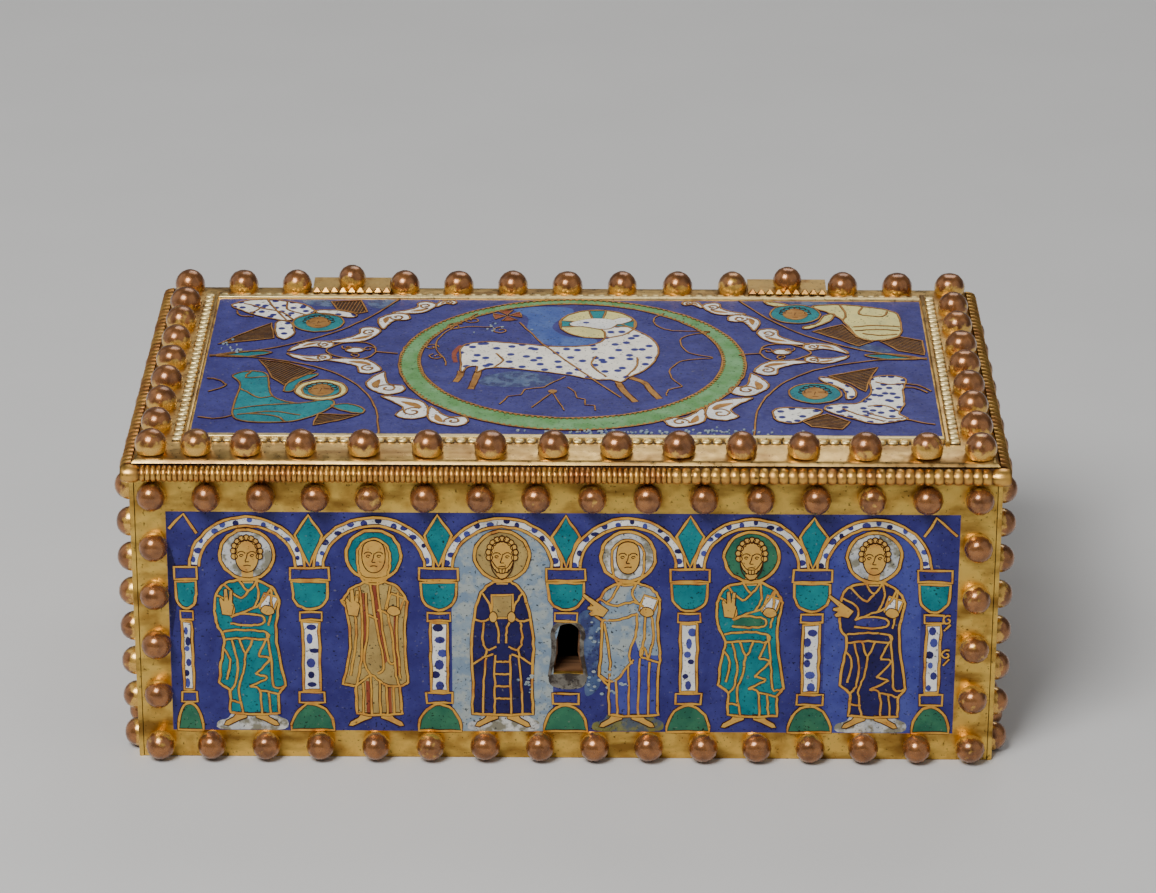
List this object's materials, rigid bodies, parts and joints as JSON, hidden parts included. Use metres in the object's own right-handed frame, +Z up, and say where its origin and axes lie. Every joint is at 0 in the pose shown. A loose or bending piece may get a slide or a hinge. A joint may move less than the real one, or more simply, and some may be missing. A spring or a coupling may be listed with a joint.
{
  "type": "reliquary casket",
  "caption": "Oblong wooden casket sheathed in enamelled gilt copper plates with round-headed nails, a keyhole in front and a flat hinged lid edged by a beaded roll.",
  "frame": {"origin": "middle of the underside, on the surface that the casket stands on", "axes": "+X to the right of someone facing the front, +Y to the hinged back, +Z up"},
  "size_m": [0.2376, 0.1363, 0.0943],
  "materials": {
    "oak": "dark, dry and unvarnished",
    "enamelled_copper": "lapis blue enamel in gilt copper cells",
    "gilt_copper": "worn gilding, satin",
    "bare_copper": "copper with rubbed gilding, glossy"
  },
  "bodies": {
    "casket": {"wooden_box": "oak", "front_plate": "enamelled_copper", "back_plate": "enamelled_copper", "left_plate": "enamelled_copper", "right_plate": "enamelled_copper", "hinge_leaf_left": "gilt_copper", "hinge_leaf_right": "gilt_copper", "hinge_pin_left": "bare_copper", "hinge_pin_right": "bare_copper"},
    "lid": {"lid_board": "oak", "lid_panel": "enamelled_copper", "lid_border_front": "gilt_copper", "lid_border_back": "gilt_copper", "lid_border_left": "gilt_copper", "lid_border_right": "gilt_copper", "lid_roll_front": "bare_copper", "lid_roll_back": "bare_copper", "lid_roll_left": "bare_copper", "lid_roll_right": "bare_copper", "hinge_strap_left": "gilt_copper", "hinge_strap_right": "gilt_copper"}
  },
  "joints": [
    {"name": "lid_hinge", "type": "hinge", "parent": "casket", "child": "lid", "pos_m": [0, 0.06775, 0.0809], "axis": [-1, 0, 0], "range_deg": [0, 100]}
  ]
}
